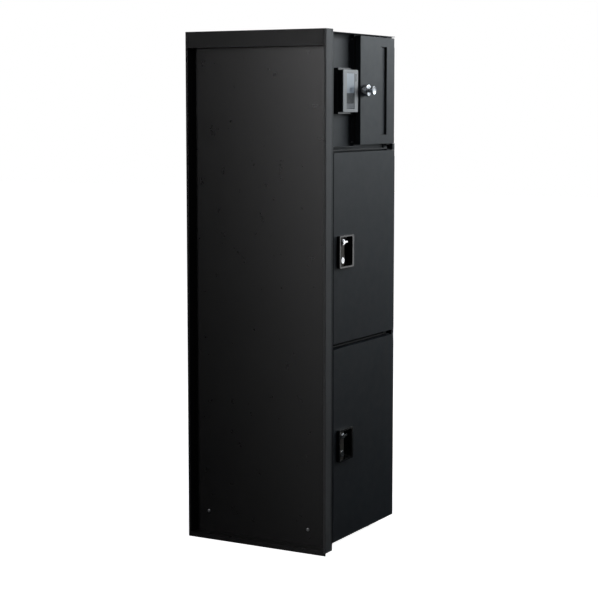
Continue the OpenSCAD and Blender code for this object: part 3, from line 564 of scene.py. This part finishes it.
def mail_knob_pieces():
    """The chrome rose, turned with a bead, and the knob with a dished, knurled head."""
    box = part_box("knob_rose")
    centre = (middle(box, 0), middle(box, 2))
    rim = (box[1][0] - box[0][0]) / 2
    front, back = box[0][1], box[1][1]
    profile = [(back, ROSE_BORE)]
    profile += [(back - y * MM, rim - r * MM) for y, r in ROSE_SIDE_MM]
    profile += front_corner(front, rim, ROSE_CORNER)
    profile += [(front, rim * ROSE_FLAT_SHARE), (front + ROSE_DISH, rim * ROSE_DISH_SHARE)]
    profile += [(front + ROSE_DISH, ROSE_BORE)]
    rose = turned_mesh("rose_finish", centre, profile, closed=True)
    new_piece("rose_finish", rose, "mail_door", "chrome", ("knob_rose",))

    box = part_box("mail_knob")
    rim = (box[1][0] - box[0][0]) / 2
    tip, end = box[0][1], box[1][1]
    shoulder_back, shoulder_inset = KNOB_SHOULDER_MM
    profile = [(end - y * MM, r * MM) for y, r in KNOB_SPINDLE_MM]
    profile += [(front - y * MM, r * MM) for y, r in KNOB_COLLAR_MM]
    profile += [(tip + y * MM, r * MM) for y, r in KNOB_FLARE_MM]
    profile += [(tip + shoulder_back * MM, rim - shoulder_inset * MM)]
    profile += front_corner(tip, rim, KNOB_LIP)
    profile += [(tip + y * MM, rim * share) for y, share in KNOB_DISH]
    knob = turned_mesh("knob_finish", centre, profile)
    new_piece("knob_finish", knob, "mail_knob", "chrome", ("mail_knob",))
    ring_place = (centre[0], tip + KNURL_MIDDLE, centre[1])
    ring = knurled_ring("knob_knurls", ring_place, rim - KNURL_INSET, KNURL_LENGTH, KNURL_COUNT, KNURL_R)
    new_piece("knob_knurls", ring, "mail_knob", "chrome")


SLAT_COUNT = 7
SLAT_PITCH = 4 * MM
SLAT_R = 0.6 * MM
SLAT_SINK = 0.3 * MM
SLAT_MARGIN = 12 * MM
SLAT_FIRST_Z = 2.8 * MM


def speaker_slats():
    """Slats across the speaker panel, between its slots."""
    low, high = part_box("speaker_panel")
    start = (middle((low, high), 0), low[1] + SLAT_SINK, low[2] + SLAT_FIRST_Z)
    length = high[0] - low[0] - SLAT_MARGIN
    mesh = slat_row("speaker_slats", start, (0, 0, SLAT_PITCH), SLAT_COUNT, length, SLAT_R, "dark_panel")
    new_piece("speaker_slats", mesh, "cabinet", "dark_panel")


STRIP_HALF_W = 2 * MM
STRIP_LENGTH = 24 * MM
STRIP_FROM_WINDOW = 9 * MM
STRIP_BELOW_TOP = 2 * MM
STRIP_PROUD = 0.2 * MM
STRIP_SUNK = 1 * MM
STRIP_END_STEPS = 12


def sensor_strip():
    """The narrow dark strip beside the window, with round ends, let into the cover."""
    window_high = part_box("camera_window")[1]
    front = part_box("station_cover")[0][1]
    centre_x = window_high[0] + STRIP_FROM_WINDOW
    top = window_high[2] - STRIP_BELOW_TOP
    outline = []
    for z, start in ((top - STRIP_HALF_W, 0), (top - STRIP_LENGTH + STRIP_HALF_W, 180)):
        for i in range(STRIP_END_STEPS + 1):
            a = math.radians(start + 180 * i / STRIP_END_STEPS)
            outline.append((centre_x + STRIP_HALF_W * math.cos(a), z + STRIP_HALF_W * math.sin(a)))
    tool = bmesh.new()
    near = [tool.verts.new((x, front - STRIP_PROUD, z)) for x, z in outline]
    far = [tool.verts.new((x, front + STRIP_SUNK, z)) for x, z in outline]
    tool.faces.new(near)
    tool.faces.new(list(reversed(far)))
    for i in range(len(near)):
        j = (i + 1) % len(near)
        tool.faces.new((near[i], far[i], far[j], near[j]))
    new_piece("sensor_strip", mesh_from(tool, "sensor_strip"), "cabinet", "gloss_black")


CROWN_R = 3.6 * MM
CROWN_T = 1.2 * MM
BRACKET_SCREW_X = (204 * MM, 216 * MM)
BRACKET_WEB_BACK = 5 * MM
JAMB_HEAD_X = 2.6 * MM
JAMB_HEAD_Y = 4 * MM
JAMB_LOW_Z = 8 * MM
JAMB_HIGH_Z = 10 * MM


def crowns():
    """Cross-recessed heads on the bracket screws and the jamb screws."""
    brackets = (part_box("mail_hinge_bracket"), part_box("shelf_hinge_bracket"))
    head_y = brackets[0][1][1] - BRACKET_WEB_BACK - CROWN_T / 2
    places = [(x, head_y, middle(box, 2)) for box in brackets for x in BRACKET_SCREW_X]
    mesh = screw_crowns("bracket_crowns", places, (math.pi / 2, 0, 0), CROWN_R, CROWN_T)
    new_piece("bracket_crowns", mesh, "cabinet", "zinc")
    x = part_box("mail_divider")[0][0] - JAMB_HEAD_X
    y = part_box("face_frame")[1][1] + JAMB_HEAD_Y
    low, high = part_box("mail_door")
    places = [(x, y, low[2] + JAMB_LOW_Z), (x, y, high[2] - JAMB_HIGH_Z)]
    mesh = screw_crowns("jamb_crowns", places, (0, -math.pi / 2, 0), CROWN_R, CROWN_T)
    new_piece("jamb_crowns", mesh, "cabinet", "zinc")


# ---------------------------------------------------------------- studio

FLOOR_REACH = 20
# Small lamps that the chrome parts mirror: name, and place across and up.
GLINTS = (("upper_lock_glint", 2.26, 0.69), ("lower_lock_glint", 2.26, 0.06), ("knob_glint", 2.42, 1.18))
GLINT_Y = -1.55
GLINT_SIZE = 0.3
GLINT_POWER = 0.3


def softbox(name, place, aim, size, power, colour=(1, 1, 1)):
    data = bpy.data.lights.new(name, "AREA")
    data.energy = power
    data.color = colour
    data.size = size
    lamp = link(bpy.data.objects.new(name, data))
    lamp.location = place
    lamp.rotation_euler = (Vector(aim) - Vector(place)).to_track_quat("-Z", "Y").to_euler()


def flat_sheet(name, corners):
    """One four-cornered face, for the floor and the glowing cards."""
    mesh = bpy.data.meshes.new(name)
    mesh.from_pydata(corners, [], [(0, 1, 2, 3)])
    sheet = link(bpy.data.objects.new(name, mesh))
    return sheet


def glow_card(name, corners, strength, fade, along, colour):
    """A large card that lights the object and shows only in its gloss.

    Its glow falls away by fade per metre from the place along[0], in the direction along[1].
    """
    card = flat_sheet(name, corners)
    glow = Shader(name)
    offset = glow.add("ShaderNodeVectorMath", operation="SUBTRACT")
    glow.link(glow.place, offset.inputs[0])
    offset.inputs[1].default_value = along[0]
    reach = glow.add("ShaderNodeVectorMath", operation="DOT_PRODUCT")
    glow.link(offset.outputs["Vector"], reach.inputs[0])
    reach.inputs[1].default_value = along[1]
    slope = glow.add("ShaderNodeMath", operation="MULTIPLY")
    glow.link(reach.outputs["Value"], slope.inputs[0])
    slope.inputs[1].default_value = -fade
    level = glow.add("ShaderNodeMath", operation="EXPONENT")
    glow.link(slope.outputs[0], level.inputs[0])
    power = glow.add("ShaderNodeMath", operation="MULTIPLY")
    glow.link(level.outputs[0], power.inputs[0])
    power.inputs[1].default_value = strength
    emission = glow.add("ShaderNodeEmission")
    emission.inputs["Color"].default_value = (*colour, 1)
    glow.link(power.outputs[0], emission.inputs["Strength"])
    glow.link(emission.outputs[0], glow.tree.nodes["Material Output"].inputs["Surface"])
    card.data.materials.append(glow.material)
    card.visible_camera = False
    card.visible_shadow = False


def studio():
    """A pale floor, a white surround, and glowing cards that the paint reflects."""
    world = bpy.data.worlds.new("surround")
    bpy.context.scene.world = world
    world.use_nodes = True
    nodes, links = world.node_tree.nodes, world.node_tree.links
    seen = nodes["Background"]
    seen.inputs["Color"].default_value = (1, 1, 1, 1)
    fill = nodes.new("ShaderNodeBackground")
    fill.inputs["Color"].default_value = (0.9, 0.95, 1, 1)
    fill.inputs["Strength"].default_value = 0.03
    path = nodes.new("ShaderNodeLightPath")
    mix = nodes.new("ShaderNodeMixShader")
    links.new(path.outputs["Is Camera Ray"], mix.inputs["Fac"])
    links.new(fill.outputs[0], mix.inputs[1])
    links.new(seen.outputs[0], mix.inputs[2])
    links.new(mix.outputs[0], nodes["World Output"].inputs["Surface"])

    r = FLOOR_REACH
    floor = flat_sheet("floor", [(-r, -r, 0), (r, -r, 0), (r, r, 0), (-r, r, 0)])
    pale = Shader("pale_floor")
    tone = pale.mix(pale.span(pale.noise(0.6, 2), 0, 1), (0.9, 0.9, 0.9), (0.94, 0.94, 0.94))
    white = (1, 1, 1, 1)
    coat = pale.finish(tone, Roughness=0.9, Emission_Color=white, Emission_Strength=1.0)
    floor.data.materials.append(coat)
    floor.visible_glossy = False
    floor.visible_diffuse = False

    front = [(0.6, -2.0, -1.2), (4.6, -1.2, -1.2), (4.6, -1.2, 2.6), (0.6, -2.0, 2.6)]
    glow_card("front_card", front, 0.92, 2.15, ((0, 0, 1.5), (0, 0, -1)), (0.9, 0.96, 1))
    left = [(-2.5, 2.8, -1.2), (-2.5, 0.7, -1.2), (-2.5, 0.7, 2.4), (-2.5, 2.8, 2.4)]
    glow_card("left_card", left, 1.5, 1.0, ((0, 1.0, 1.4), (0, 6.0, -1.0)), (1, 0.99, 1))
    for name, x, z in GLINTS:
        softbox(name, (x, GLINT_Y, z), (x - 2.41, -0.24, z + 0.28), GLINT_SIZE, GLINT_POWER)
    softbox("front_key", (1.6, -3.0, 2.9), (0.1, -0.2, 1.45), 0.7, 10, (0.93, 0.97, 1))
    softbox("left_key", (-1.5, -1.6, 2.3), (-0.2, -0.2, 1.3), 0.5, 2)
    softbox("top", (0.2, -0.4, 3.6), (0, 0, 1), 1.5, 6)
    bpy.context.scene.view_settings.view_transform = "Standard"


make_camera()
paint_nodes()
roll_edges()
mail_knob_pieces()
speaker_slats()
sensor_strip()
crowns()
studio()
